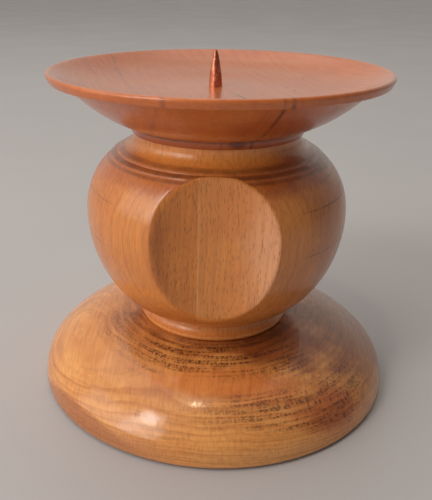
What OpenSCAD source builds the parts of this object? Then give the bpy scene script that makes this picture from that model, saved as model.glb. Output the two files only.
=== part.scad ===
// Turned beech candle holder with a drip dish, a metal pricket and a scooped globe body.
// The axis of turning is Z, the table is z = 0, and one scooped flat faces -Y.

/* [Base] */
// Radius of the base disc at its foot
base_r = 83; // [78:1:90]
// Thickness of the base disc
base_t = 29.5; // [28:0.5:34]
// Radius of the flat land that the body stands on
base_land_r = 38; // [37:1:42]
// Round on the lower edge of the base disc
base_arris = 1.4; // [0.6:0.2:2]

/* [Body] */
// Height of the body from its foot to the dish
body_h = 89.5; // [87:0.5:92]
// Largest radius of the body
belly_r = 59.9; // [58:0.1:61]
// Height of the largest radius above the foot of the body
belly_z = 53.5; // [51:0.5:55]
// Radius of the foot ring
foot_r = 35.4; // [34:0.2:36.4]
// Radius of the neck under the dish
neck_r = 38; // [37:0.2:38.4]
// Offset of the glued joint between the two blocks of the body
joint_x = -6.6; // [-12:0.2:12]

/* [Scoops] */
// Number of concave flats cut into the body
scoop_count = 3; // [0:1:3]
// Radius of the drum that cuts a scoop
scoop_r = 50; // [40:1:70]
// Distance from the axis to the floor of a scoop at belly height
scoop_floor = 47; // [45:0.5:56]
// Lean of a scoop towards the axis at its top, in degrees
scoop_lean = 1.5; // [0:0.5:3]

/* [Dish] */
// Outer radius of the dish
dish_r = 75; // [70:1:80]
// Height of the dish from its foot to the rim
dish_t = 27; // [26:0.5:29]
// Depth of the bowl below the rim
bowl_depth = 8; // [5:0.5:9]
// Radius of the flat candle seat
seat_r = 38; // [30:1:42]
// Height of the band round the rim
rim_t = 4.2; // [3:0.1:5]
// Radius of the rounded edges of the rim
rim_round = 1.2; // [1:0.1:1.4]
// Radius of the foot of the dish
dish_foot_r = 39; // [38.5:0.1:40]

/* [Pricket] */
// Radius of the spike at the dish
spike_r = 3; // [2.5:0.1:4]
// Height of the spike above the candle seat
spike_h = 16; // [12:1:30]
// Length of the wood thread below the seat
spike_thread_l = 22; // [14:1:24]
// How far the spike stands to the side of the axis
spike_x = -1.2; // [-2:0.1:2]

/* [Joinery] */
// Radius of the dowel between dish and body
dish_dowel_r = 8; // [6:0.5:10]
// Length of the dowel between dish and body
dish_dowel_l = 34; // [32:1:40]
// Radius of the dowel between body and base
base_dowel_r = 10; // [8:0.5:12]
// Length of the dowel between body and base
base_dowel_l = 40; // [30:1:50]
// Number of screws through the base
screw_count = 3; // [2:1:4]
// Distance of the screws from the axis
screw_circle_r = 22; // [18:1:26]
// Length of a screw
screw_l = 45; // [36:1:50]

/* [Felt] */
// Radius of the felt disc
felt_r = 70; // [60:1:74]
// Thickness of the felt disc
felt_t = 2; // [1.5:0.1:3]
// How far the felt stands below the wood
felt_proud = 0.8; // [0.4:0.1:1]

/* [Hidden] */
$fn = 96;

beech = "#c98a52";
beech_pale = "#dba671";
beech_red = "#b8703e";
felt_green = "#3f4a35";

base_z = felt_proud;
body_z = base_z + base_t;
dish_z = body_z + body_h;
seat_z = dish_z + dish_t - bowl_depth;

// Depths of the dowel holes in the dish and in the base
dish_mortise = 12;
base_mortise = 18;
// The three turned lines on the shoulder, as [radius, height above the body's foot]
ring_low = [48.3, 78.9];
ring_mid = [45.5, 80.6];
ring_top = [42.3, 82.6];
bead_rise = 0.45;
// How far the lower edge of the rim stands in from the upper edge
rim_in = 0.7;
// The narrowest place above the foot ring, as [radius, height above the body's foot]
waist = [33, 6.4];
// Points in each curved stretch of an outline
curve_steps = 12;

thread_pitch = 1.6;
thread_root_r = 1.5;
thread_crest_r = 2.1;
screw_head_r = 4.5;
screw_head_h = 2.6;
screw_shank_r = 2.1;
slot_w = 1.1;
slot_l = 4.6;
slot_depth = 1.6;
chamfer = 1;
// More than the size of the whole object, for cutting
big = 200;

// A cubic curve from a to d. The last point is left to the next stretch of the outline.
function curve(a, b, c, d, steps = curve_steps) = [
    for (i = [0:steps - 1])
        let (t = i / steps, s = 1 - t)
            s * s * s * a + 3 * s * s * t * b + 3 * s * t * t * c + t * t * t * d
];

// A shallow bead from a to b that stands out by rise, to the right of the way it runs.
function bead(a, b, rise, steps = 6) =
    let (way = (b - a) / norm(b - a), out = [way[1], -way[0]])
    [for (i = [0:steps - 1]) let (t = i / steps) a + t * (b - a) + 4 * rise * t * (1 - t) * out];

// A circular arc about centre, from angle a0 to a1.
function arc(centre, r, a0, a1, steps = 8) = [
    for (i = [0:steps - 1])
        let (a = a0 + (a1 - a0) * i / steps) centre + r * [cos(a), sin(a)]
];

// The ridges of a wood thread from z_top down to z_end, as an outline of the right-hand side.
function ridges(z_top, z_end, root, crest) =
    let (turns = floor((z_top - z_end) / thread_pitch))
    [for (i = [turns - 1:-1:0], k = [0:1])
        let (z = z_top - (i + 1) * thread_pitch)
            k == 0 ? [root, z] : [crest, z + thread_pitch * 0.7]];

// Outline of the dish from the centre of its foot round to the centre of the seat.
function dish_outline() =
    let (top = dish_t, seat = dish_t - bowl_depth, rim = [dish_r - rim_round, top - rim_round],
         low = [rim[0] - rim_in, top - rim_t + rim_round],
         under = [dish_r - 7.4, top - rim_t - 0.8],
         lean = atan2(rim_in, rim[1] - low[1]))
    concat(
        [[0, 0]],
        bead([dish_foot_r - 0.4, 0], [dish_foot_r + 0.6, 3.1], 0.3),
        curve([dish_foot_r + 0.6, 3.1], [dish_foot_r + 15, 8.2], [dish_r - 13, top - 10.2],
              under),
        curve(under, under + [1.2, 0.7], low + [-2.7, -rim_round], low + [0, -rim_round], 5),
        arc(low, rim_round, -90, -lean, 6),
        arc(rim, rim_round, -lean, 90, 8),
        curve(rim + [0, rim_round], [dish_r - 5, top - 0.3], [dish_r - 13, seat], [seat_r, seat]),
        [[seat_r, seat], [0, seat]]
    );

// Outline of the body from the centre of its foot up to the neck.
function body_outline() = concat(
    [[0, 0]],
    bead([foot_r - 0.9, 0], [foot_r - 0.2, 2.2], 0.5),
    curve([foot_r - 0.2, 2.2], [waist[0] + 0.4, 3.2], [waist[0] - 0.6, 4.8], waist, 6),
    curve(waist, [waist[0] + 13.5, waist[1] + 5.1], [belly_r, belly_z - 23.5], [belly_r, belly_z]),
    curve([belly_r, belly_z], [belly_r, belly_z + 8.5], [belly_r - 2.7, belly_z + 18], ring_low),
    bead(ring_low, ring_mid, bead_rise),
    bead(ring_mid, ring_top, bead_rise),
    curve(ring_top, [ring_top[0] - 2.7, ring_top[1] + 1], [neck_r, ring_top[1] + 3],
          [neck_r, ring_top[1] + 5.2], 8),
    [[neck_r, ring_top[1] + 5.2], [neck_r, body_h], [0, body_h]]
);

// Outline of the base from the centre of its foot up over the dome to the land.
function base_outline() = concat(
    [[0, 0]],
    arc([base_r - base_arris, base_arris], base_arris, -90, 0, 6),
    curve([base_r, base_arris], [base_r - 0.4, 0.28 * base_t], [base_r - 2.4, 0.39 * base_t],
          [base_r - 7.4, 0.54 * base_t]),
    curve([base_r - 7.4, 0.54 * base_t], [base_r - 15, 0.77 * base_t], [base_r - 28, base_t],
          [base_land_r, base_t]),
    [[base_land_r, base_t], [0, base_t]]
);

// The places of the screws round the axis, one of them at the back.
module at_screws() {
    for (i = [0:screw_count - 1])
        rotate(90 + i * 360 / screw_count) translate([screw_circle_r, 0, 0]) children();
}

// A plain dowel with chamfered ends, standing on z = 0.
module dowel(r, l) {
    rotate_extrude()
        polygon([[0, 0], [r - chamfer, 0], [r, chamfer], [r, l - chamfer], [r - chamfer, l], [0, l]]);
}

// One countersunk wood screw, head down on z = 0 and point up.
module screw() {
    thread_top = screw_l - 4;
    thread_low = screw_l - 30;
    difference() {
        rotate_extrude()
            polygon(concat(
                [[0, 0], [screw_head_r, 0], [screw_shank_r, screw_head_h],
                 [screw_shank_r, thread_low - 1]],
                ridges(thread_top, thread_low, thread_root_r, screw_shank_r),
                [[thread_root_r, thread_top], [0, screw_l]]));
        translate([0, 0, slot_depth / 2 - 0.5])
            for (a = [0, 90])
                rotate(a) cube([slot_l, slot_w, slot_depth + 1], center = true);
    }
}

// The space a screw takes up in the wood.
module screw_hole() {
    rotate_extrude()
        polygon([[0, 0], [screw_head_r, 0], [screw_shank_r, screw_head_h],
                 [screw_shank_r, screw_l], [0, screw_l]]);
}

// The turned globe with its scoops and its dowel holes, before it is split into blocks.
module turned_body() {
    difference() {
        translate([0, 0, body_z]) rotate_extrude() polygon(body_outline());
        if (scoop_count > 0)
            for (i = [0:scoop_count - 1])
                rotate(-90 + i * 360 / scoop_count)
                    translate([scoop_floor + scoop_r, 0, body_z + belly_z])
                        rotate([0, -scoop_lean, 0]) cylinder(r = scoop_r, h = big, center = true);
        translate([0, 0, body_z - 1]) cylinder(r = base_dowel_r, h = base_dowel_l - base_mortise + 1);
        translate([0, 0, dish_z - (dish_dowel_l - dish_mortise)])
            cylinder(r = dish_dowel_r, h = dish_dowel_l);
        at_screws() translate([0, 0, base_z + felt_t - felt_proud]) screw_hole();
    }
}

module drip_dish() {
    color(beech_red)
        difference() {
            translate([0, 0, dish_z]) rotate_extrude() polygon(dish_outline());
            translate([0, 0, dish_z - 1]) cylinder(r = dish_dowel_r, h = dish_mortise + 1);
            translate([spike_x, 0, dish_z]) cylinder(r = thread_crest_r, h = dish_t);
        }
}

module pricket_spike() {
    color("#8a4a34")
        translate([spike_x, 0, seat_z])
            rotate_extrude()
                polygon(concat(
                    [[0, -spike_thread_l - 3]],
                    ridges(-1, -spike_thread_l, thread_root_r, thread_crest_r),
                    [[thread_root_r, -1], [thread_crest_r, 0]],
                    curve([spike_r, 0], [0.92 * spike_r, 0.35 * spike_h],
                          [0.72 * spike_r, 0.6 * spike_h], [0.33 * spike_r, 0.94 * spike_h], 6),
                    [[0.33 * spike_r, 0.94 * spike_h], [0.2 * spike_r, 0.99 * spike_h],
                     [0, spike_h]]));
}

module body_left_block() {
    color(beech)
        intersection() {
            turned_body();
            translate([joint_x - big, -big / 2, 0]) cube(big);
        }
}

module body_right_block() {
    color(beech)
        intersection() {
            turned_body();
            translate([joint_x, -big / 2, 0]) cube(big);
        }
}

module base_disc() {
    color(beech_pale)
        difference() {
            translate([0, 0, base_z]) rotate_extrude() polygon(base_outline());
            translate([0, 0, body_z - base_mortise]) cylinder(r = base_dowel_r, h = base_mortise + 1);
            translate([0, 0, -1]) cylinder(r = felt_r, h = felt_t + 1);
            at_screws() translate([0, 0, felt_t]) screw_hole();
        }
}

module dish_dowel() {
    bore_depth = spike_thread_l + 4 - (dish_t - bowl_depth - dish_mortise);
    color(beech_pale)
        translate([0, 0, dish_z - (dish_dowel_l - dish_mortise)])
            difference() {
                dowel(dish_dowel_r, dish_dowel_l);
                translate([spike_x, 0, dish_dowel_l - bore_depth])
                    cylinder(r = thread_crest_r, h = big);
            }
}

module base_dowel() {
    color(beech_pale)
        translate([0, 0, body_z - base_mortise]) dowel(base_dowel_r, base_dowel_l);
}

module base_screws() {
    color("#b9b6ae")
        at_screws() translate([0, 0, felt_t]) screw();
}

module felt_disc() {
    color(felt_green) cylinder(r = felt_r, h = felt_t);
}

drip_dish();
pricket_spike();
body_left_block();
body_right_block();
base_disc();
dish_dowel();
base_dowel();
base_screws();
felt_disc();
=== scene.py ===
"""Turned beech candle holder: the looks of its pieces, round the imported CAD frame.

Metres, with +Z up and the front at -Y. Outlines and wood figure are written in millimetres.
"""

import math

import bmesh
import bpy
import numpy as np
from mathutils import Matrix, Vector


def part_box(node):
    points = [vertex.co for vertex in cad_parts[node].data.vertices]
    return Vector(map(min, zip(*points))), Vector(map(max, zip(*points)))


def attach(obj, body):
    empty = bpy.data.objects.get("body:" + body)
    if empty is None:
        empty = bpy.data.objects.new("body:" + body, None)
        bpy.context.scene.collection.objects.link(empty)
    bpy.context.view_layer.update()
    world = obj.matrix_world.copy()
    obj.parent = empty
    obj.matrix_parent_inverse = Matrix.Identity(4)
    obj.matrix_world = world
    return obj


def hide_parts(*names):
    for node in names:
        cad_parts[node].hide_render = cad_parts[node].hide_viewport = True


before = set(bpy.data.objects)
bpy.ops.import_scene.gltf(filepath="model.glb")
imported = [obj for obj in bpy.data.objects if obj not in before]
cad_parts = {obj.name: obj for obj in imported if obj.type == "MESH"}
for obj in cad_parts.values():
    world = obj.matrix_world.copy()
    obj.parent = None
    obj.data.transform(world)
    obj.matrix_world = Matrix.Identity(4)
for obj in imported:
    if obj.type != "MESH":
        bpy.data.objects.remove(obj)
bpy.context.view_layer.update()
MM = 0.001


# ---------------------------------------------------------------- sizes, from the frame

base_lo, base_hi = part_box("base_disc")
body_lo, body_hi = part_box("body_right_block")
left_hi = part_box("body_left_block")[1]
dish_lo, dish_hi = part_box("drip_dish")
spike_lo, spike_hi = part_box("pricket_spike")
felt_lo, felt_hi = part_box("felt_disc")

BASE_R = base_hi.x / MM
BASE_T = (base_hi.z - base_lo.z) / MM
BODY_H = (body_hi.z - body_lo.z) / MM
BELLY_R = body_hi.x / MM
JOINT_X = left_hi.x
DISH_R = dish_hi.x / MM
DISH_T = (dish_hi.z - dish_lo.z) / MM
FELT_R = felt_hi.x
FELT_T = felt_hi.z - felt_lo.z
FELT_RECESS = (felt_hi.z - base_lo.z) / MM
BODY_FOOT = body_lo.z / MM
SPIKE_X = (spike_lo.x + spike_hi.x) / 2 / MM

# These repeat the drawing, in millimetres.
BASE_LAND_R = 38
BASE_ARRIS = 1.4
BELLY_Z = 53.5
FOOT_R = 35.4
NECK_R = 38
WAIST = (33, 6.4)
RING_LOW = (48.3, 78.9)
RING_MID = (45.5, 80.6)
RING_TOP = (42.3, 82.6)
BEAD_RISE = 0.45
SCOOP_COUNT = 3
SCOOP_R = 50
SCOOP_FLOOR = 47
SCOOP_LEAN = math.radians(1.5)
SCOOP_ANGLES = [math.radians(-90 + i * 360 / SCOOP_COUNT) for i in range(SCOOP_COUNT)]
LIP_CRISP = 0.7
LIP_RUBBED = 1.9
BOWL_DEPTH = 8
SEAT_R = 38
RIM_T = 4.2
RIM_ROUND = 1.2
RIM_IN = 0.7
DISH_FOOT_R = 39
SPIKE_R = 3
SPIKE_LEAN = -0.3
THREAD_ROOT_R = 1.5
THREAD_CREST_R = 2.1
THREAD_PITCH = 1.6
THREAD_LENGTH = 22
THREAD_POINT = 2.8

# The seat of the candle, in metres, and how far the spike stands above it.
SEAT_Z = dish_hi.z - BOWL_DEPTH * MM
SPIKE_H = (spike_hi.z - SEAT_Z) / MM


# ---------------------------------------------------------------- outlines


def curve(a, b, c, d, steps=30):
    """A cubic curve from a to d; its last point is left to the next stretch."""
    a, b, c, d = (np.array(p, float) for p in (a, b, c, d))
    t = np.arange(steps)[:, None] / steps
    s = 1 - t
    return list(s**3 * a + 3 * s * s * t * b + 3 * s * t * t * c + t**3 * d)


def bead(a, b, rise, steps=10):
    """A shallow bead from a to b that stands out by rise, to the right of the way it runs."""
    a, b = np.array(a, float), np.array(b, float)
    way = (b - a) / np.linalg.norm(b - a)
    out = np.array([way[1], -way[0]])
    t = np.arange(steps)[:, None] / steps
    return list(a + t * (b - a) + 4 * rise * t * (1 - t) * out)


def arc(centre, r, start, end, steps=10):
    """A circular arc; angles in degrees, and its last point is left out."""
    angles = np.radians(start + (end - start) * np.arange(steps) / steps)
    return list(np.array(centre, float) + r * np.stack([np.cos(angles), np.sin(angles)], 1))


def line(a, b, steps=6):
    """A straight stretch from a to b; its last point is left out."""
    a, b = np.array(a, float), np.array(b, float)
    return list(a + (b - a) * np.arange(steps)[:, None] / steps)


def base_outline():
    shoulder = (BASE_R - 7.4, 0.54 * BASE_T)
    return (
        [(0, FELT_RECESS)]
        + line((FELT_R / MM, FELT_RECESS), (FELT_R / MM, 0), 2)
        + line((FELT_R / MM, 0), (BASE_R - BASE_ARRIS, 0), 5)
        + arc((BASE_R - BASE_ARRIS, BASE_ARRIS), BASE_ARRIS, -90, 0)
        + curve(
            (BASE_R, BASE_ARRIS),
            (BASE_R - 0.4, 0.28 * BASE_T),
            (BASE_R - 2.4, 0.39 * BASE_T),
            shoulder,
        )
        + curve(
            shoulder,
            (BASE_R - 15, 0.77 * BASE_T),
            (BASE_R - 28, BASE_T),
            (BASE_LAND_R, BASE_T),
            60,
        )
        + line((BASE_LAND_R, BASE_T), (0, BASE_T), 20)
        + [(0, BASE_T)]
    )


def body_outline():
    foot_top = (FOOT_R - 0.2, 2.2)
    belly = (BELLY_R, BELLY_Z)
    cove_top = (NECK_R, RING_TOP[1] + 5.2)
    return (
        [(0, 0)]
        + bead((FOOT_R - 0.9, 0), foot_top, 0.5)
        + curve(foot_top, (WAIST[0] + 0.4, 3.2), (WAIST[0] - 0.6, 4.8), WAIST, 12)
        + curve(WAIST, (WAIST[0] + 13.5, WAIST[1] + 5.1), (BELLY_R, BELLY_Z - 23.5), belly, 110)
        + curve(belly, (BELLY_R, BELLY_Z + 8.5), (BELLY_R - 2.7, BELLY_Z + 18), RING_LOW, 75)
        + bead(RING_LOW, RING_MID, BEAD_RISE)
        + bead(RING_MID, RING_TOP, BEAD_RISE)
        + curve(
            RING_TOP,
            (RING_TOP[0] - 2.7, RING_TOP[1] + 1),
            (NECK_R, RING_TOP[1] + 3),
            cove_top,
            16,
        )
        + line(cove_top, (NECK_R, BODY_H), 3)
        + [(NECK_R, BODY_H), (0, BODY_H)]
    )


def dish_outline():
    seat = DISH_T - BOWL_DEPTH
    rim = (DISH_R - RIM_ROUND, DISH_T - RIM_ROUND)
    low = (rim[0] - RIM_IN, DISH_T - RIM_T + RIM_ROUND)
    lean = math.degrees(math.atan2(RIM_IN, rim[1] - low[1]))
    rim_foot = (low[0], low[1] - RIM_ROUND)
    under = (DISH_R - 7.4, DISH_T - RIM_T - 0.8)
    groove = (DISH_FOOT_R + 0.6, 3.1)
    return (
        [(0, 0)]
        + bead((DISH_FOOT_R - 0.4, 0), groove, 0.12)
        + curve(groove, (DISH_FOOT_R + 15, 8.2), (DISH_R - 13, DISH_T - 10.2), under, 50)
        + curve(
            under,
            (under[0] + 1.2, under[1] + 0.7),
            (rim_foot[0] - 2.7, rim_foot[1]),
            rim_foot,
            12,
        )
        + arc(low, RIM_ROUND, -90, -lean, 12)
        + arc(rim, RIM_ROUND, -lean, 90, 18)
        + curve(
            (rim[0], DISH_T),
            (DISH_R - 5, DISH_T - 0.3),
            (DISH_R - 13, seat),
            (SEAT_R, seat),
            60,
        )
        + line((SEAT_R, seat), (0, seat), 20)
        + [(0, seat)]
    )


# ---------------------------------------------------------------- mesh making


def add_object(name, mesh):
    made = bpy.data.objects.new(name, mesh)
    bpy.context.scene.collection.objects.link(made)
    return made


def lathe(name, outline, z0, segments=256, shape=None):
    """A closed turned solid from an outline in millimetres that starts and ends on the axis.

    z0 is the height of the outline's zero, in metres. shape(r, angle, z) may change the radius
    of each ring, so that cuts keep one smooth skin.
    """
    points = np.array([tuple(p) for p in outline], float)
    inner = points[1:-1]
    angle = np.arange(segments) * 2 * math.pi / segments
    r = np.repeat(inner[:, :1], segments, 1)
    z = np.repeat(inner[:, 1:], segments, 1)
    if shape:
        r = shape(r, angle[None, :], z)
    ring = np.stack([r * np.cos(angle), r * np.sin(angle), z], -1).reshape(-1, 3)
    ends = [[0, 0, points[0][1]], [0, 0, points[-1][1]]]
    verts = np.vstack([ring, ends]) * MM + [0, 0, z0]
    rows = len(inner)
    first, last = rows * segments, rows * segments + 1
    faces = []
    for k in range(segments):
        n = (k + 1) % segments
        faces.append((first, n, k))
        faces.append((last, (rows - 1) * segments + k, (rows - 1) * segments + n))
        for i in range(rows - 1):
            a, b = i * segments, (i + 1) * segments
            faces.append((a + k, a + n, b + n, b + k))
    mesh = bpy.data.meshes.new(name)
    mesh.from_pydata([tuple(v) for v in verts], [], faces)
    mesh.validate()
    made = add_object(name, mesh)
    smooth(made)
    return made


def smooth(obj, angle=38):
    """Smooth shading, with edges sharper than angle degrees left crisp."""
    obj.data.shade_smooth()
    obj.data.set_sharp_from_angle(angle=math.radians(angle))


def half(name, source, x, keep_left):
    """A copy of source cut by the upright plane at x, closed again with a flat face."""
    mesh = source.data.copy()
    mesh.name = name
    cut = bmesh.new()
    cut.from_mesh(mesh)
    found = bmesh.ops.bisect_plane(
        cut,
        geom=cut.verts[:] + cut.edges[:] + cut.faces[:],
        plane_co=(x, 0, 0),
        plane_no=(1, 0, 0),
        clear_outer=keep_left,
        clear_inner=not keep_left,
    )
    edges = [e for e in found["geom_cut"] if isinstance(e, bmesh.types.BMEdge)]
    bmesh.ops.holes_fill(cut, edges=edges, sides=0)
    bmesh.ops.recalc_face_normals(cut, faces=cut.faces[:])
    cut.to_mesh(mesh)
    cut.free()
    made = add_object(name, mesh)
    smooth(made)
    return made


# ---------------------------------------------------------------- shader helpers


class Graph:
    """A short way to write a node tree: most calls add a node and give back its output."""

    def __init__(self, name):
        self.material = bpy.data.materials.new(name)
        self.material.use_nodes = True
        self.tree = self.material.node_tree
        self.tree.nodes.clear()

    def put(self, socket, value):
        """Links value to the socket, or sets it there where it is a constant."""
        if isinstance(value, bpy.types.NodeSocket):
            self.tree.links.new(value, socket)
        else:
            socket.default_value = value

    def add(self, kind, inputs=None, out=0, **settings):
        made = self.tree.nodes.new(kind)
        for key, value in settings.items():
            setattr(made, key, value)
        for key, value in (inputs or {}).items():
            self.put(made.inputs[key], value)
        return made.outputs[out]

    def place(self):
        """The point's place on the piece, in metres."""
        return self.add("ShaderNodeTexCoord", out=3)

    def place_mm(self):
        return self.scaled(self.place(), 1000, 1000, 1000)

    def math(self, op, a, b=0.0, c=0.0):
        return self.add("ShaderNodeMath", {0: a, 1: b, 2: c}, operation=op)

    def vector(self, op, a, b=(0, 0, 0), out=0):
        return self.add("ShaderNodeVectorMath", {0: a, 1: b}, out, operation=op)

    def scaled(self, v, x, y, z):
        return self.vector("MULTIPLY", v, (x, y, z))

    def noise(self, v, scale, detail=3.0, roughness=0.55, distortion=0.0):
        wanted = {
            "Vector": v,
            "Scale": scale,
            "Detail": detail,
            "Roughness": roughness,
            "Distortion": distortion,
        }
        return self.add("ShaderNodeTexNoise", wanted)

    def noise_rgb(self, v, scale, detail=2.0):
        return self.add("ShaderNodeTexNoise", {"Vector": v, "Scale": scale, "Detail": detail}, 1)

    def cells(self, v, scale):
        """How far the point lies from the nearest of the scattered cell centres."""
        return self.add("ShaderNodeTexVoronoi", {"Vector": v, "Scale": scale, "Randomness": 1.0})

    def span(self, value, low, high, to_low=0.0, to_high=1.0):
        """A soft step from to_low at low to to_high at high."""
        wanted = {0: value, 1: low, 2: high, 3: to_low, 4: to_high}
        return self.add("ShaderNodeMapRange", wanted, interpolation_type="SMOOTHSTEP")

    def mix(self, factor, a, b, blend="MIX"):
        made = self.tree.nodes.new("ShaderNodeMix")
        made.data_type = "RGBA"
        made.blend_type = blend
        for index, value in ((0, factor), (6, a), (7, b)):
            self.put(made.inputs[index], value)
        return made.outputs[2]

    def dyed(self, factor, tone, dye):
        """tone multiplied by dye, as far as factor says."""
        return self.mix(factor, tone, self.mix(1.0, tone, dye, "MULTIPLY"))

    def bump(self, height, strength, distance):
        wanted = {"Height": height, "Strength": strength, "Distance": distance}
        return self.add("ShaderNodeBump", wanted)

    def finish(self, **sockets):
        """Ends the tree in a Principled shader with these sockets, and gives the material."""
        shader = self.tree.nodes.new("ShaderNodeBsdfPrincipled")
        for key, value in sockets.items():
            self.put(shader.inputs[key.replace("_", " ")], value)
        out = self.tree.nodes.new("ShaderNodeOutputMaterial")
        self.tree.links.new(shader.outputs[0], out.inputs[0])
        return self.material


def colour(r, g, b):
    """Linear colour from sRGB numbers of 0 to 255."""
    linear = []
    for level in (r, g, b):
        part = level / 255
        linear.append(((part + 0.055) / 1.055) ** 2.4 if level > 10 else part / 12.92)
    return (*linear, 1.0)


# ---------------------------------------------------------------- wood

LAMINA_DYE = (0.6, 0.46, 0.34, 1)
FIBRE_DYE = (0.62, 0.5, 0.42, 1)
TORN_DYE = (0.5, 0.36, 0.26, 1)
TICK_TONE = colour(78, 38, 16)
CHECK_TONE = colour(104, 46, 18)
# The tone of the painted lines: painted shade and painted reflections.
PAINTED_LINE_TONE = colour(86, 44, 20)
KNOT_TONE = colour(40, 18, 8)
GLUE_TONE = colour(232, 170, 112)

# Torn grain: the radius at which an angle is turned into millimetres, how fast the rows of tears
# drop with height, and how deep a tear is beside the other relief.
TORN_R = 56.0
TORN_DROP = -0.75
TEAR_DEPTH = -2.4

# A painted line that runs all the way round has no gap.
NO_GAP = -100.0


def patch_mask(g, mm, centre, reach, ragged=0.5, full=0.4):
    """1 inside the full part of an egg-shaped region and 0 outside it, with a wandering edge."""
    off = g.vector("DIVIDE", g.vector("SUBTRACT", mm, centre), reach)
    far = g.vector("LENGTH", off, out=1)
    wavy = g.math("SUBTRACT", g.noise(g.scaled(mm, 0.07, 0.07, 0.07), 1.0, 4.0), 0.5)
    return g.span(g.math("ADD", far, g.math("MULTIPLY", wavy, 2 * ragged)), 1.0, full)


def scoop_mask(g, mm):
    """1 on the drums that cut the scoops and 0 just off them."""
    z_mm = g.vector("DOT_PRODUCT", mm, (0, 0, 1), 1)
    above_belly = g.math("SUBTRACT", z_mm, BELLY_Z + BODY_FOOT)
    lean = g.math("MULTIPLY", above_belly, math.tan(SCOOP_LEAN))
    found = None
    for a in SCOOP_ANGLES:
        out, side = (math.cos(a), math.sin(a), 0), (-math.sin(a), math.cos(a), 0)
        ahead = g.math("SUBTRACT", g.vector("DOT_PRODUCT", mm, out, 1), SCOOP_FLOOR + SCOOP_R)
        ahead = g.math("ADD", ahead, lean)
        beside = g.vector("DOT_PRODUCT", mm, side, 1)
        far = g.vector("LENGTH", g.add("ShaderNodeCombineXYZ", {0: ahead, 1: beside}), out=1)
        here = g.span(g.math("ABSOLUTE", g.math("SUBTRACT", far, SCOOP_R)), 0.75, 0.35)
        found = here if found is None else g.math("MAXIMUM", found, here)
    return found


def streaks(g, board, tangent_mm, grain_mm, width):
    """Dark spindles that lie along the grain, one to each tangent_mm by grain_mm of surface."""
    cells = g.cells(g.scaled(board, 1 / 22, 1 / tangent_mm, 1 / grain_mm), 1.0)
    return g.span(cells, width, width * 0.5)


def tinted(g, mm, tone, tints_and_painted_light):
    """The tone with soft patches of other tones laid over it: some are the wood's own tone, and
    some are painted light and painted shade.
    """
    for centre, reach, tint, amount, *edge in tints_and_painted_light:
        here = g.math("MULTIPLY", patch_mask(g, mm, centre, reach, *edge), amount)
        tone = g.mix(here, tone, tint)
    return tone


def tears(g, mm, bent, tone, height, torn, cracks):
    """Tears where the tool met the ends of the fibres: short ticks in rows that follow the turning.

    Gives the new tone and height.
    """
    shade_of = ticks_of = None
    for centre, reach, amount, ticks in torn:
        here = g.math("MULTIPLY", patch_mask(g, mm, centre, reach, 0.35), amount)
        ticked = g.math("MULTIPLY", here, ticks)
        shade_of = here if shade_of is None else g.math("MAXIMUM", shade_of, here)
        ticks_of = ticked if ticks_of is None else g.math("MAXIMUM", ticks_of, ticked)
    drop = g.vector("DOT_PRODUCT", bent, (0, 0, TORN_DROP), 1)
    run = g.math("ADD", g.vector("LENGTH", g.scaled(bent, 1, 1, 0), out=1), drop)
    to_right = g.vector("DOT_PRODUCT", bent, (1, 0, 0), 1)
    to_front = g.vector("DOT_PRODUCT", bent, (0, -1, 0), 1)
    arc_mm = g.math("MULTIPLY", g.math("ARCTAN2", to_right, to_front), TORN_R)
    polar = g.add("ShaderNodeCombineXYZ", {0: run, 1: arc_mm})
    row = g.span(g.noise(g.scaled(polar, 0.46, 0.02, 0), 1.0, 3.0, 0.6), 0.43, 0.55)
    group = g.span(g.noise(g.scaled(polar, 0.09, 0.012, 0), 1.0, 2.0), 0.3, 0.42)
    row = g.math("MULTIPLY", row, group)
    thin = g.span(g.cells(g.scaled(polar, 1 / 1.8, 1 / 0.95, 0), 1.0), 0.5, 0.3)
    wide = g.span(g.cells(g.scaled(polar, 1 / 3.2, 1 / 1.8, 0), 1.0), 0.44, 0.28)
    ticked = g.math("MULTIPLY", g.math("MULTIPLY", row, g.math("MAXIMUM", thin, wide)), ticks_of)
    tone = g.dyed(g.math("MULTIPLY", g.math("MULTIPLY", row, shade_of), 0.5), tone, TORN_DYE)
    tone = g.mix(g.math("MULTIPLY", ticked, 0.85), tone, TICK_TONE)
    height = g.math("ADD", height, g.math("MULTIPLY", ticked, TEAR_DEPTH))
    for centre, reach in cracks:
        # Longer checks that run outward, each by itself.
        check = g.span(g.cells(g.scaled(polar, 1 / 4.6, 1 / 2.0, 0), 1.0), 0.34, 0.18)
        check = g.math("MULTIPLY", check, patch_mask(g, mm, centre, reach, 0.3))
        tone = g.mix(g.math("MULTIPLY", check, 0.75), tone, CHECK_TONE)
        height = g.math("ADD", height, g.math("MULTIPLY", check, TEAR_DEPTH))
    return tone, height


def stained(g, mm, tone, stains):
    """Dark sheets through the wood, each at a point and square to a direction, that waver."""
    for at, way, width, stain_tone, amount, *where in stains:
        square_to = tuple(Vector(way).normalized())
        off = g.vector("DOT_PRODUCT", g.vector("SUBTRACT", mm, at), square_to, 1)
        waver = g.math("SUBTRACT", g.noise(g.scaled(mm, 0.05, 0.05, 0.05), 1.0, 4.0), 0.5)
        off = g.math("ABSOLUTE", g.math("ADD", off, g.math("MULTIPLY", waver, 3.5)))
        mark = g.span(off, width, width * 0.1)
        broken = g.noise(g.scaled(mm, 0.11, 0.11, 0.11), 1.0, 2.0)
        broken = g.span(broken, 0.36, 0.6, 0.4, 1.0)
        if where:
            broken = g.math("MULTIPLY", broken, patch_mask(g, mm, *where, 0.2, 0.7))
        tone = g.mix(g.math("MULTIPLY", g.math("MULTIPLY", mark, broken), amount), tone, stain_tone)
    return tone


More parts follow.
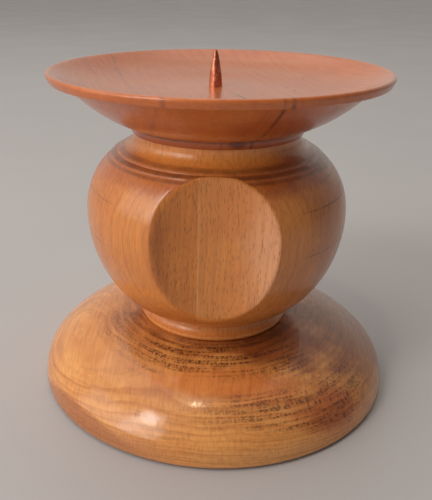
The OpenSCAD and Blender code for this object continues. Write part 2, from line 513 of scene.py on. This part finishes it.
def with_painted_lines(g, mm, tone, height, painted_lines, on_scoop):
    """Thin dark lines painted round the turning, faded out in front over the gap: painted shade in
    grooves and round the body's foot, and painted reflections on the body's sides. Gives the new
    tone and height.
    """
    z_mm = g.vector("DOT_PRODUCT", mm, (0, 0, 1), 1)
    x_mm = g.vector("DOT_PRODUCT", mm, (1, 0, 0), 1)
    for level, width, amount, gap in painted_lines:
        waver = g.math("SUBTRACT", g.noise(g.scaled(mm, 0.05, 0.05, 0), 1.0, 2.0), 0.5)
        waver = g.math("MULTIPLY", waver, 1.6 if gap > 0 else 0.5)
        off = g.math("ABSOLUTE", g.math("ADD", g.math("SUBTRACT", z_mm, level), waver))
        faded_in_front = g.span(g.math("ABSOLUTE", g.math("ADD", x_mm, 4.0)), gap, gap + 14.0)
        least = 0.25 if gap > 0 else 0.75
        broken = g.noise(g.scaled(mm, 0.16, 0.16, 0.02), 1.0, 2.0)
        broken = g.span(broken, 0.38, 0.55, least, 1.0)
        mark = g.math("MULTIPLY", g.math("MULTIPLY", g.span(off, width, 0.1), faded_in_front), broken)
        if on_scoop is not None:
            mark = g.math("MULTIPLY", mark, g.math("SUBTRACT", 1.0, on_scoop))
        tone = g.mix(g.math("MULTIPLY", mark, amount), tone, PAINTED_LINE_TONE)
        height = g.math("ADD", height, g.math("MULTIPLY", mark, -0.4 / width))
    return tone, height


def beech(
    name,
    grain,
    rings,
    ring=2.6,
    early=colour(205, 136, 78),
    late=colour(172, 98, 48),
    ring_depth=0.6,
    fleck=0.45,
    fleck_tone=colour(124, 64, 28),
    fibre=0.42,
    lamina=0.0,
    seed=0.0,
    tints_and_painted_light=(),
    torn=(),
    cracks=(),
    stains=(),
    painted_lines=(),
    knots=(),
    glue=None,
    scoop=None,
    gloss=0.22,
):
    """Varnished solid beech, cut from a tree.

    grain is the way the fibres run. rings are the linear and the square terms of how far a point
    lies from the pith, in millimetres, and ring is a year's growth. fleck, fibre and lamina are
    how far the rays, the fibre streaks and the fine lines along the years show. seed moves the
    figure along, so that no two pieces share it.

    The marks lie at places in millimetres. tints_and_painted_light (centre, reach, tone, amount
    and, if they differ from the usual, how ragged the edge is and where it is full) are egg-shaped
    changes of tone: some are the wood's own tone, and some are painted light and painted shade.
    torn (centre, reach, amount, ticks) are regions where the tool tore the fibres, and cracks
    (centre, reach) are the parts of them with longer checks. stains (point, direction, width,
    tone, amount and, where limited, centre and reach) are dark sheets in the wood. painted_lines
    (height, width, amount, gap) are thin dark lines painted round the turning, faded out in front
    over the gap: painted shade in grooves and round the body's foot, and painted reflections on
    the body's sides. knots (centre, reach) are pin knots, and glue is where a glue line shows on
    the scoops. scoop is the fleck and the painted light and painted shade that the scoops have
    instead, and gloss is the roughness of the lacquer.
    """
    g = Graph(name)
    linear, square = rings
    w_axis = Vector(grain).normalized()
    u_axis = Vector(linear).normalized()
    t_axis = w_axis.cross(u_axis).normalized()
    mm = g.place_mm()
    moved = g.vector("ADD", mm, (seed * 7.0, seed * 3.0, seed * 5.0))
    # The fibres wander a little, so the board's own directions are bent by slow noise.
    middle = (0.5, 0.5, 0.5)
    slow = g.vector("SUBTRACT", g.noise_rgb(g.scaled(moved, 0.012, 0.012, 0.012), 1.0), middle)
    quick = g.vector("SUBTRACT", g.noise_rgb(g.scaled(moved, 0.06, 0.06, 0.06), 1.0), middle)
    bent = g.vector("ADD", mm, g.scaled(slow, 7, 7, 7))
    bent = g.vector("ADD", bent, g.scaled(quick, 1.1, 1.1, 1.1))
    squares = g.vector("MULTIPLY", bent, bent)
    depth = g.math(
        "ADD",
        g.vector("DOT_PRODUCT", bent, tuple(linear), 1),
        g.vector("DOT_PRODUCT", squares, tuple(square), 1),
    )
    across = g.vector("DOT_PRODUCT", bent, tuple(t_axis), 1)
    along = g.vector("DOT_PRODUCT", bent, tuple(w_axis), 1)
    board = g.add("ShaderNodeCombineXYZ", {0: depth, 1: across, 2: along})
    shifted = g.vector("ADD", board, (seed * 11.0, seed * 17.0, seed * 23.0))

    # Growth rings: each year runs from pale early wood to a thin darker line.
    uneven = g.noise(g.scaled(shifted, 0.1, 0.02, 0.008), 1.0, 2.0)
    year = g.math("ADD", g.math("DIVIDE", depth, ring), g.math("MULTIPLY", uneven, 2.2))
    part = g.math("FRACT", year)
    year_number = g.math("FLOOR", year)
    strength = g.add("ShaderNodeTexWhiteNoise", {"W": year_number}, noise_dimensions="1D")
    late_wood = g.math("MULTIPLY", g.span(part, 0.3, 0.92), g.span(part, 1.0, 0.93))
    late_wood = g.math("MULTIPLY", late_wood, g.span(strength, 0.0, 1.0, 0.25, 1.0))

    # Fibre streaks, pores and the wide soft changes of tone.
    streak = g.noise(g.scaled(shifted, 0.8, 0.8, 0.035), 1.0, 4.0, 0.6)
    pore = g.noise(g.scaled(shifted, 4.0, 4.0, 0.4), 1.0, 2.0, 0.6)
    cloud = g.noise(g.scaled(moved, 0.035, 0.035, 0.035), 1.0, 3.0)

    coarse = g.math(
        "MAXIMUM",
        streaks(g, shifted, 0.78, 5.2, 0.3),
        streaks(g, g.vector("ADD", shifted, (31.0, 17.3, 43.7)), 0.95, 6.2, 0.26),
    )
    fine = streaks(g, shifted, 0.7, 3.6, 0.2)
    density = g.span(g.noise(g.scaled(shifted, 0.2, 0.15, 0.03), 1.0, 2.0), 0.3, 0.55, 0.55, 1.0)
    rays = g.math("MULTIPLY", g.math("MAXIMUM", coarse, g.math("MULTIPLY", fine, 0.6)), density)

    tone = g.mix(g.math("MULTIPLY", late_wood, ring_depth), early, late)
    tone = g.mix(g.span(cloud, 0.32, 0.7, 0.0, 0.4), tone, late)
    plain = tone
    # Patches of the wood's own tone, and patches of painted light and painted shade.
    tone = tinted(g, mm, tone, tints_and_painted_light)
    on_scoop = None
    # The scoops get patches of painted light and painted shade of their own.
    if scoop is not None:
        scoop_fleck, scoop_painted_light = scoop
        on_scoop = scoop_mask(g, mm)
        tone = g.mix(on_scoop, tone, tinted(g, mm, plain, scoop_painted_light))
        fleck = g.span(on_scoop, 0.0, 1.0, fleck, scoop_fleck)
    if lamina:
        lines = g.noise(g.scaled(shifted, 1.5, 0.035, 0.02), 1.0, 3.0, 0.55)
        tone = g.dyed(g.span(lines, 0.46, 0.64, 0.0, lamina), tone, LAMINA_DYE)
    tone = g.dyed(g.span(streak, 0.36, 0.72, 0.0, fibre), tone, FIBRE_DYE)
    tone = g.mix(g.math("MULTIPLY", rays, fleck), tone, fleck_tone)
    tone = g.mix(g.span(pore, 0.58, 0.76, 0.0, 0.22), tone, fleck_tone)
    height = g.math("MULTIPLY", rays, -0.3)
    height = g.math("ADD", height, g.math("MULTIPLY", pore, -0.4))
    height = g.math("ADD", height, g.math("MULTIPLY", late_wood, 0.3))

    if torn:
        tone, height = tears(g, mm, bent, tone, height, torn, cracks)
    tone = stained(g, mm, tone, stains)
    # Thin dark lines: painted shade in grooves and round the body's foot, painted reflections on
    # the body's sides.
    tone, height = with_painted_lines(g, mm, tone, height, painted_lines, on_scoop)
    for centre, reach in knots:
        tone = g.mix(patch_mask(g, mm, centre, reach, 0.05), tone, KNOT_TONE)
    if glue is not None:
        x_mm = g.vector("DOT_PRODUCT", mm, (1, 0, 0), 1)
        off = g.math("ABSOLUTE", g.math("SUBTRACT", x_mm, glue))
        seen = g.span(g.noise(g.scaled(mm, 0, 0, 0.06), 1.0, 2.0), 0.4, 0.6, 0.2, 0.6)
        seen = g.math("MULTIPLY", seen, on_scoop)
        tone = g.mix(g.math("MULTIPLY", g.span(off, 0.6, 0.15), seen), tone, GLUE_TONE)

    rough = g.span(streak, 0.2, 0.8, 0.44, 0.56)
    normal = g.bump(height, 0.4, 0.0002)
    ripple = g.bump(g.noise(g.scaled(shifted, 0.3, 0.3, 0.12), 1.0, 3.0), 0.1, 0.001)
    return g.finish(
        Base_Color=tone,
        Roughness=rough,
        Normal=normal,
        Specular_IOR_Level=0.3,
        Coat_Weight=1.0,
        Coat_Roughness=gloss,
        Coat_IOR=1.5,
        Coat_Normal=ripple,
    )


def spike_metal():
    """Coppered steel, ground by hand and lacquered: soft colour changes and grinding lines."""
    g = Graph("coppered_spike")
    place = g.place_mm()
    cloud = g.noise(place, 0.35, 4.0, 0.6)
    lines = g.noise(g.scaled(place, 2.2, 2.2, 9.0), 1.0, 3.0)
    tone = g.mix(g.span(cloud, 0.35, 0.7), colour(224, 142, 108), colour(164, 76, 56))
    tone = g.mix(g.span(lines, 0.5, 0.75, 0.0, 0.35), tone, colour(214, 146, 108))
    rough = g.span(lines, 0.3, 0.7, 0.24, 0.4)
    return g.finish(
        Base_Color=tone,
        Metallic=0.85,
        Roughness=rough,
        Normal=g.bump(g.math("ADD", lines, cloud), 0.3, 0.0002),
        Coat_Weight=0.4,
        Coat_Roughness=0.1,
    )


def screw_metal():
    """Yellow zinc plate with fine turning lines."""
    g = Graph("zinc_screw")
    place = g.place_mm()
    lines = g.noise(g.scaled(place, 0.6, 0.6, 12.0), 1.0, 3.0)
    tone = g.mix(g.span(lines, 0.3, 0.7), colour(196, 184, 150), colour(150, 138, 112))
    return g.finish(
        Base_Color=tone,
        Metallic=1.0,
        Roughness=g.span(lines, 0.3, 0.7, 0.25, 0.4),
        Normal=g.bump(lines, 0.2, 0.0001),
    )


def raw_beech():
    """Unvarnished dowel wood, with flutes of fine fibre along it."""
    g = Graph("dowel_beech")
    place = g.place_mm()
    fibre = g.noise(g.scaled(place, 1.6, 1.6, 0.05), 1.0, 4.0)
    fleck = g.span(g.cells(g.scaled(place, 1.2, 1.2, 0.3), 1.0), 0.25, 0.1)
    tone = g.mix(g.span(fibre, 0.3, 0.7), colour(224, 190, 148), colour(196, 154, 108))
    tone = g.mix(g.math("MULTIPLY", fleck, 0.4), tone, colour(150, 100, 62))
    return g.finish(
        Base_Color=tone,
        Roughness=g.span(fibre, 0.3, 0.7, 0.6, 0.75),
        Normal=g.bump(fibre, 0.4, 0.0003),
    )


def felt():
    """Dark green pressed felt: tangled fibres and a soft sheen."""
    g = Graph("green_felt")
    place = g.place_mm()
    tangle = g.noise(place, 2.4, 6.0, 0.7, 1.2)
    cloud = g.noise(place, 0.08, 3.0)
    tone = g.mix(g.span(tangle, 0.3, 0.7), colour(34, 48, 34), colour(66, 84, 60))
    tone = g.mix(g.span(cloud, 0.4, 0.7, 0.0, 0.3), tone, colour(48, 60, 50))
    return g.finish(
        Base_Color=tone,
        Roughness=g.span(tangle, 0.3, 0.7, 0.85, 1.0),
        Normal=g.bump(tangle, 0.8, 0.0006),
        Sheen_Weight=0.6,
        Sheen_Roughness=0.6,
    )


# ---------------------------------------------------------------- the turned pieces


def scoop_centre(z):
    """How far the drum that cuts a scoop stands from the axis, z above the body's foot."""
    return SCOOP_FLOOR + SCOOP_R - math.tan(SCOOP_LEAN) * (z - BELLY_Z)


def scooped(r, angle, z):
    """The body's radius where drums have cut upright scoops.

    The lip on the left of each scoop is rubbed round, and the one on the right is crisp.
    """
    centre = scoop_centre(z)
    for scoop_angle in SCOOP_ANGLES:
        turned = angle - scoop_angle
        across = np.abs(centre * np.sin(turned))
        faces = (across < SCOOP_R) & (np.cos(turned) > 0)
        chord = np.sqrt(np.clip(SCOOP_R**2 - across**2, 0, None))
        floor = np.where(faces, centre * np.cos(turned) - chord, 1e3)
        side = np.clip(0.5 - 2.2 * np.sin(turned), 0, 1)
        soft = LIP_CRISP + (LIP_RUBBED - LIP_CRISP) * side * side * (3 - 2 * side)
        blend = np.clip(0.5 + 0.5 * (floor - r) / soft, 0, 1)
        r = floor * (1 - blend) + r * blend - soft * blend * (1 - blend)
    return r


# Where the file ran on the spike: angle in degrees, height and reach as parts of it, and depth.
FILE_MARKS = (
    (-150, 0.8, 0.12, 0.1),
    (-62, 0.62, 0.3, 0.07),
    (-105, 0.3, 0.25, 0.04),
    (20, 0.5, 0.35, 0.03),
    (100, 0.7, 0.2, 0.1),
    (170, 0.4, 0.3, 0.03),
)


def make_spike():
    """The pricket: a point ground by hand above the seat and a wood thread below it."""
    rng = np.random.default_rng(5)
    sides = 36
    angle = np.arange(sides) * 2 * math.pi / sides
    profile = curve(
        (SPIKE_R, 0),
        (0.92 * SPIKE_R, 0.35 * SPIKE_H),
        (0.72 * SPIKE_R, 0.6 * SPIKE_H),
        (0.33 * SPIKE_R, 0.94 * SPIKE_H),
        36,
    )
    rings = []
    for radius, z in profile:
        t = z / SPIKE_H
        # Each pass of the file left a flat that starts and ends at its own height.
        cut = np.zeros(sides)
        for flat_angle, flat_t, reach, depth in FILE_MARKS:
            around = np.cos(angle - math.radians(flat_angle))
            along = math.exp(-(((t - flat_t) / reach) ** 2))
            cut = np.maximum(cut, depth * along * np.clip((around - 0.55) / 0.45, 0, 1) ** 1.5)
        grain = 0.008 * rng.standard_normal(sides)
        rings.append((radius * (1 - cut + grain), z, SPIKE_LEAN * t))
    rings.append((np.full(sides, 0.24 * SPIKE_R), 0.975 * SPIKE_H, SPIKE_LEAN))
    rings.append((np.full(sides, 0.1 * SPIKE_R), SPIKE_H - 0.02, SPIKE_LEAN))
    below = [(np.full(sides, THREAD_CREST_R), -0.02, 0.0)]
    steps = 66
    for i in range(steps + 1):
        z = -1 - (THREAD_LENGTH - 1) * i / steps
        phase = (z / THREAD_PITCH + angle / (2 * math.pi)) % 1
        ridge = np.clip(1 - np.abs(phase - 0.5) * 3.2, 0, 1)
        below.append((THREAD_ROOT_R + (THREAD_CREST_R - THREAD_ROOT_R) * ridge, z, 0.0))
    below.append((np.full(sides, 0.3), -THREAD_LENGTH - THREAD_POINT, 0.0))
    rows = below[::-1] + rings
    verts = []
    for radius, z, lean in rows:
        for a, r in zip(angle, radius):
            x = SPIKE_X + lean + r * math.cos(a)
            verts.append((x * MM, r * math.sin(a) * MM, SEAT_Z + z * MM))
    faces = [tuple(range(sides))[::-1]]
    for i in range(len(rows) - 1):
        for k in range(sides):
            n = (k + 1) % sides
            low, high = i * sides, (i + 1) * sides
            faces.append((low + k, low + n, high + n, high + k))
    top = (len(rows) - 1) * sides
    faces.append(tuple(range(top, top + sides)))
    mesh = bpy.data.meshes.new("spike")
    mesh.from_pydata(verts, [], faces)
    mesh.validate()
    made = add_object("spike", mesh)
    smooth(made, 50)
    return made


def make_felt():
    """A felt disc cut with shears: a slightly uneven edge, rounded at the foot."""
    rng = np.random.default_rng(9)
    segments = 240
    wobble = np.convolve(rng.standard_normal(segments + 8), np.ones(9) / 9, "valid")[:segments]
    t = FELT_T / MM
    r = FELT_R / MM - 0.35
    outline = (
        [(0, 0)]
        + line((4, 0), (r - 0.5, 0), 16)
        + arc((r - 0.5, 0.5), 0.5, -90, 0, 5)
        + [(r, 0.5), (r, t - 0.1), (r - 0.1, t)]
        + line((r - 2, t), (4, t), 6)
        + [(0, t)]
    )

    def uneven(radius, angle, z):
        edge = np.clip((radius - r + 2) / 2, 0, 1)
        return radius + edge * 0.3 * wobble[None, :]

    return lathe("felt", outline, felt_lo.z, segments, uneven)


dish = lathe("turned_dish", dish_outline(), dish_lo.z)
base = lathe("turned_base", base_outline(), base_lo.z)
whole_body = lathe("whole_body", body_outline(), body_lo.z, 600, scooped)
left_block = half("left_block", whole_body, JOINT_X, True)
right_block = half("right_block", whole_body, JOINT_X, False)
bpy.data.objects.remove(whole_body)
spike = make_spike()
felt_piece = make_felt()

PIECES = {
    "drip_dish": (dish, "dish_beech"),
    "base_disc": (base, "base_beech"),
    "body_left_block": (left_block, "left_beech"),
    "body_right_block": (right_block, "right_beech"),
    "pricket_spike": (spike, "spike_metal"),
    "felt_disc": (felt_piece, "felt"),
}
for node_name, (piece, slot_name) in PIECES.items():
    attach(piece, "root")
    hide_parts(node_name)


# ---------------------------------------------------------------- materials on the pieces

DISH_WOOD = dict(
    grain=(0.28, -0.96, 0),
    rings=((0.93, 0.27, -0.25), (0, 0, 0.002)),
    ring=5.5,
    early=colour(204, 108, 44),
    late=colour(174, 78, 28),
    ring_depth=0.32,
    fleck=0.13,
    fleck_tone=colour(92, 38, 16),
    fibre=0.2,
    seed=3.1,
    tints_and_painted_light=(
        # Darker low on the dish's foot, next to the body: painted shade.
        ((0, 0, 120.3), (400, 400, 3.6), colour(150, 62, 20), 0.45),
        # Darker on the right front of the underside: painted shade.
        ((36, -50, 128), (46, 40, 17), colour(150, 50, 14), 0.4),
        ((8.3, -38.8, 122.3), (5, 5, 2.6), colour(96, 36, 14), 0.8, 0.1),
        # Lighter on the left front of the rim: painted light.
        ((-40, -66, 147), (60, 24, 5), colour(216, 114, 42), 0.55),
        # Warmer and darker inside the bowl's far side, which reflects less light: painted shade.
        ((0, 48, 142), (80, 26, 12), colour(190, 100, 40), 0.5),
    ),
    # A painted line of shade in the groove at the dish's foot.
    painted_lines=((122.9, 0.8, 0.75, NO_GAP),),
    knots=(
        ((32.7, -7.7, 138.8), (0.8, 1.7, 2)),
        ((30.4, -0.3, 138.8), (0.6, 1.3, 2)),
        ((40.2, 24, 139), (0.7, 1.4, 2)),
    ),
    stains=(
        (
            (22.0, -59.2, 137.2),
            (0.941, 0.339, 0.0),
            1.4,
            colour(92, 32, 12),
            0.75,
            (16, -46, 132),
            (40, 42, 30),
        ),
        ((-46, 20, 140), (0.95, 0.28, 0.1), 1.4, colour(132, 66, 48), 0.5),
        ((-57, 35, 144), (0.8, 0.6, 0.1), 0.7, colour(120, 54, 36), 0.4),
        ((-15, 57, 141), (0.87, 0.48, 0.1), 1.0, colour(132, 62, 40), 0.3),
    ),
)
dish.data.materials.append(beech("dish_beech", **DISH_WOOD))

BODY_PAINTED_LINES = (
    # Painted reflections on the body's sides, faded out in front.
    (96.3, 0.5, 0.55, 34.0),
    (77.5, 0.5, 0.55, 34.0),
    # Painted shade in the grooves between the shoulder beads.
    (108.4, 1.0, 0.5, NO_GAP),
    (110.3, 1.0, 0.7, NO_GAP),
    (112.3, 1.1, 0.5, NO_GAP),
)
BODY_TONES_AND_PAINTED_LIGHT = (
    ((-24, -20, 107.5), (90, 90, 7.5), colour(184, 92, 32), 0.65),
    # Darker and redder on the right shoulder: painted shade under the dish.
    ((34, -32, 111), (34, 30, 11), colour(154, 62, 20), 0.55),
    # Lighter on the front of the neck: painted light.
    ((-6, -36, 116), (52, 26, 5), colour(240, 152, 68), 0.9),
    # Lighter on the front of the foot collar: painted light.
    ((0, -30, 32), (60, 40, 8), colour(234, 144, 68), 0.75),
    # Darker on the right side: painted shade, away from the light.
    ((52, -20, 84), (26, 40, 40), colour(170, 92, 42), 0.5),
)
SCOOP_PAINTED_LIGHT = (
    # Paler and pinker on the right of the front scoop: painted sheen.
    ((26, -52, 78), (20, 14, 42), colour(226, 162, 118), 0.75, 0.35, 0.2),
    # Darker on the left wall of the front scoop: painted shade.
    ((-31, -56, 78), (14, 12, 44), colour(168, 92, 36), 0.55, 0.2, 0.2),
)
BODY_TORN = (((49, -20, 110), (16, 24, 8), 0.9, 1.0),)
BODY_MARKS = dict(
    tints_and_painted_light=BODY_TONES_AND_PAINTED_LIGHT,
    torn=BODY_TORN,
    painted_lines=BODY_PAINTED_LINES,
    glue=JOINT_X / MM,
    scoop=(0.5, SCOOP_PAINTED_LIGHT),
)
LEFT_WOOD = dict(
    grain=(0.02, 0.01, 1),
    rings=((0.12, 1, 0), (0.0071, 0, 0)),
    ring=3.1,
    early=colour(224, 138, 58),
    late=colour(190, 102, 36),
    ring_depth=0.45,
    fleck=0.26,
    seed=1.3,
    **BODY_MARKS,
)
RIGHT_WOOD = dict(
    grain=(-0.01, 0.015, 1),
    rings=((-0.1, 1, 0), (0.0071, 0, 0)),
    ring=2.8,
    early=colour(224, 142, 68),
    late=colour(190, 106, 44),
    ring_depth=0.35,
    fleck=0.28,
    seed=6.7,
    **BODY_MARKS,
)
SATIN = 0.34


def in_scoop(x, y, z):
    """Whether a point in millimetres lies on a drum that cuts a scoop."""
    centre = scoop_centre(z - BODY_FOOT)
    for a in SCOOP_ANGLES:
        if math.hypot(x - centre * math.cos(a), y - centre * math.sin(a)) < SCOOP_R + 0.1:
            return True
    return False


BLOCKS = ((left_block, "left", LEFT_WOOD), (right_block, "right", RIGHT_WOOD))
for block, block_name, wood in BLOCKS:
    block.data.materials.append(beech(block_name + "_beech", **wood))
    # The scoops are only rubbed with oil, so they are duller than the lacquered globe.
    block.data.materials.append(beech(block_name + "_scoop_beech", gloss=SATIN, **wood))
    for face in block.data.polygons:
        face.material_index = int(in_scoop(*(face.center / MM)))

BASE_WOOD = dict(
    grain=(0.03, 1, 0),
    rings=((-0.008, -0.09, 1), (0.0040, 0.0024, 0)),
    ring=1.25,
    early=colour(240, 166, 90),
    late=colour(206, 122, 56),
    ring_depth=0.75,
    fleck=0.14,
    fleck_tone=colour(120, 62, 28),
    lamina=0.36,
    gloss=0.15,
    # A painted line of shade on the base round the body's foot, faded out in front.
    painted_lines=((30.5, 0.32, 0.6, 12.0),),
    seed=4.4,
    tints_and_painted_light=(
        ((0, -2, 30), (66, 60, 13), colour(184, 112, 56), 0.6),
        # Darker on the right side: painted shade, away from the light.
        ((66, 2, 20), (36, 62, 30), colour(146, 80, 40), 0.8),
        ((30, -34, 29), (40, 21, 10), colour(134, 58, 20), 0.8),
        ((52, -58, 14), (34, 18, 9), colour(176, 80, 32), 0.7),
        ((10, -60, 25), (48, 12, 8), colour(218, 116, 50), 0.6),
        ((-57, -58, 0), (40, 38, 11.5), colour(178, 106, 60), 0.8, 0.15, 0.8),
        ((-30, -76, 3), (26, 20, 9), colour(196, 126, 74), 0.6, 0.4, 0.3),
        ((28, -80, 4), (54, 18, 7), colour(222, 156, 86), 0.6),
    ),
    torn=(
        ((4, -42, 29), (60, 20, 12), 1.0, 1.0),
        ((-40, -20, 29), (14, 26, 6), 0.6, 0.8),
        ((30, -66, 17), (52, 15, 10), 0.8, 0.9),
        ((56, -46, 16), (20, 26, 12), 0.8, 0.8),
        ((52, 0, 24), (34, 60, 16), 0.75, 0.0),
    ),
    cracks=(((50, -54, 15), (26, 20, 11)),),
)
base.data.materials.append(beech("base_beech", **BASE_WOOD))
spike.data.materials.append(spike_metal())
felt_piece.data.materials.append(felt())


def dress(node_name, material):
    """Gives a carried-over CAD node its material."""
    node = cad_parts[node_name]
    node.data.materials.clear()
    node.data.materials.append(material)


dowel_wood = raw_beech()
dress("dish_dowel", dowel_wood)
dress("base_dowel", dowel_wood)
dress("base_screws", screw_metal())


# ---------------------------------------------------------------- stage, light and camera


def stage_material(name, tone):
    """A plain material with a faint cloud in it."""
    g = Graph(name)
    place = g.place()
    cloud = g.noise(place, 6.0, 3.0)
    pale = g.mix(cloud, tone, tuple(c * 0.94 for c in tone[:3]) + (1.0,))
    return g.finish(Base_Color=pale, Roughness=g.span(cloud, 0.3, 0.7, 0.5, 0.6))


FLOOR_REACH = 6.0
FLOOR_DROP = 0.0001
floor_mesh = bpy.data.meshes.new("floor")
corners = [(x * FLOOR_REACH, y * FLOOR_REACH, 0) for x, y in ((-1, -1), (1, -1), (1, 1), (-1, 1))]
floor_mesh.from_pydata(corners, [], [(0, 1, 2, 3)])
floor = add_object("floor", floor_mesh)
floor.location.z = -FLOOR_DROP
floor.data.materials.append(stage_material("pale_floor", colour(193, 189, 190)))


def area_light(name, place, aim, size, power, tone):
    """A square-cornered soft light; place, aim and size in metres, power in watts."""
    data = bpy.data.lights.new(name, "AREA")
    data.shape = "RECTANGLE"
    data.size, data.size_y = size
    data.energy = power
    data.color = tone
    lamp = bpy.data.objects.new(name, data)
    bpy.context.scene.collection.objects.link(lamp)
    lamp.location = place
    lamp.rotation_euler = (Vector(aim) - Vector(place)).to_track_quat("-Z", "Y").to_euler()


MIDDLE = (0, 0, 0.08)
FOOT = (0, 0, 0.03)
area_light("window", (-0.80, -0.72, 1.18), FOOT, (0.3, 0.34), 3.6, (1.0, 0.98, 0.94))
area_light("pane", (-1.06, -1.06, 0.74), MIDDLE, (0.7, 1.0), 7, (1.0, 0.97, 0.92))
area_light("bounce", (-1.8, -0.7, 0.9), MIDDLE, (1.6, 1.4), 10.5, (1.0, 0.96, 0.9))
area_light("sky", (-0.4, 0.5, 1.8), MIDDLE, (2.0, 2.0), 8, (0.99, 0.99, 0.98))
area_light("lamp", (-0.17, -0.36, 1.5), FOOT, (0.06, 0.06), 1.0, (1.0, 0.82, 0.55))

# A pale room: light behind the object and over it, darker in front of it.
ROOM_LIGHT_FROM = (-0.5, 0.82, 0.25)
ROOM_DIM, ROOM_BRIGHT = 0.2, 0.72
ROOM_EDGES = (-0.5, 0.7)
world = bpy.data.worlds.new("studio")
bpy.context.scene.world = world
world.use_nodes = True
nodes, links = world.node_tree.nodes, world.node_tree.links
way = nodes.new("ShaderNodeTexCoord")
toward = nodes.new("ShaderNodeVectorMath")
toward.operation = "DOT_PRODUCT"
toward.inputs[1].default_value = ROOM_LIGHT_FROM
front_to_back = nodes.new("ShaderNodeMapRange")
front_to_back.interpolation_type = "SMOOTHSTEP"
for socket, value in enumerate((*ROOM_EDGES, ROOM_DIM, ROOM_BRIGHT), 1):
    front_to_back.inputs[socket].default_value = value
links.new(way.outputs["Generated"], toward.inputs[0])
links.new(toward.outputs["Value"], front_to_back.inputs[0])
links.new(front_to_back.outputs[0], nodes["Background"].inputs["Strength"])
nodes["Background"].inputs["Color"].default_value = colour(230, 225, 216)

SENSOR_MM = 36
LENS_MM = 47.66
SHIFT = (0.0626, -0.075)
CAMERA_BACK = 0.2948
CAMERA_UP = 0.1873
LOOK_DOWN = math.radians(20.17)
LOOK_ASIDE = math.radians(-2.82)
ROLL = math.radians(0.40)


def make_camera():
    """The camera stands in front of the holder, looks down at it, and is rolled a little."""
    data = bpy.data.cameras.new("camera")
    data.sensor_width = SENSOR_MM
    data.lens = LENS_MM
    data.shift_x, data.shift_y = SHIFT
    data.clip_start = 0.01
    camera = bpy.data.objects.new("camera", data)
    bpy.context.scene.collection.objects.link(camera)
    ahead = Vector(
        (
            math.sin(LOOK_ASIDE) * math.cos(LOOK_DOWN),
            math.cos(LOOK_ASIDE) * math.cos(LOOK_DOWN),
            -math.sin(LOOK_DOWN),
        )
    )
    level = Vector((math.cos(LOOK_ASIDE), -math.sin(LOOK_ASIDE), 0))
    up = level.cross(ahead)
    right = math.cos(ROLL) * level + math.sin(ROLL) * up
    up = -math.sin(ROLL) * level + math.cos(ROLL) * up
    turn = Matrix((right, up, -ahead)).transposed()
    camera.matrix_world = Matrix.Translation((0, -CAMERA_BACK, CAMERA_UP)) @ turn.to_4x4()
    bpy.context.scene.camera = camera


make_camera()
bpy.context.scene.view_settings.view_transform = "Standard"

bpy.context.view_layer.update()
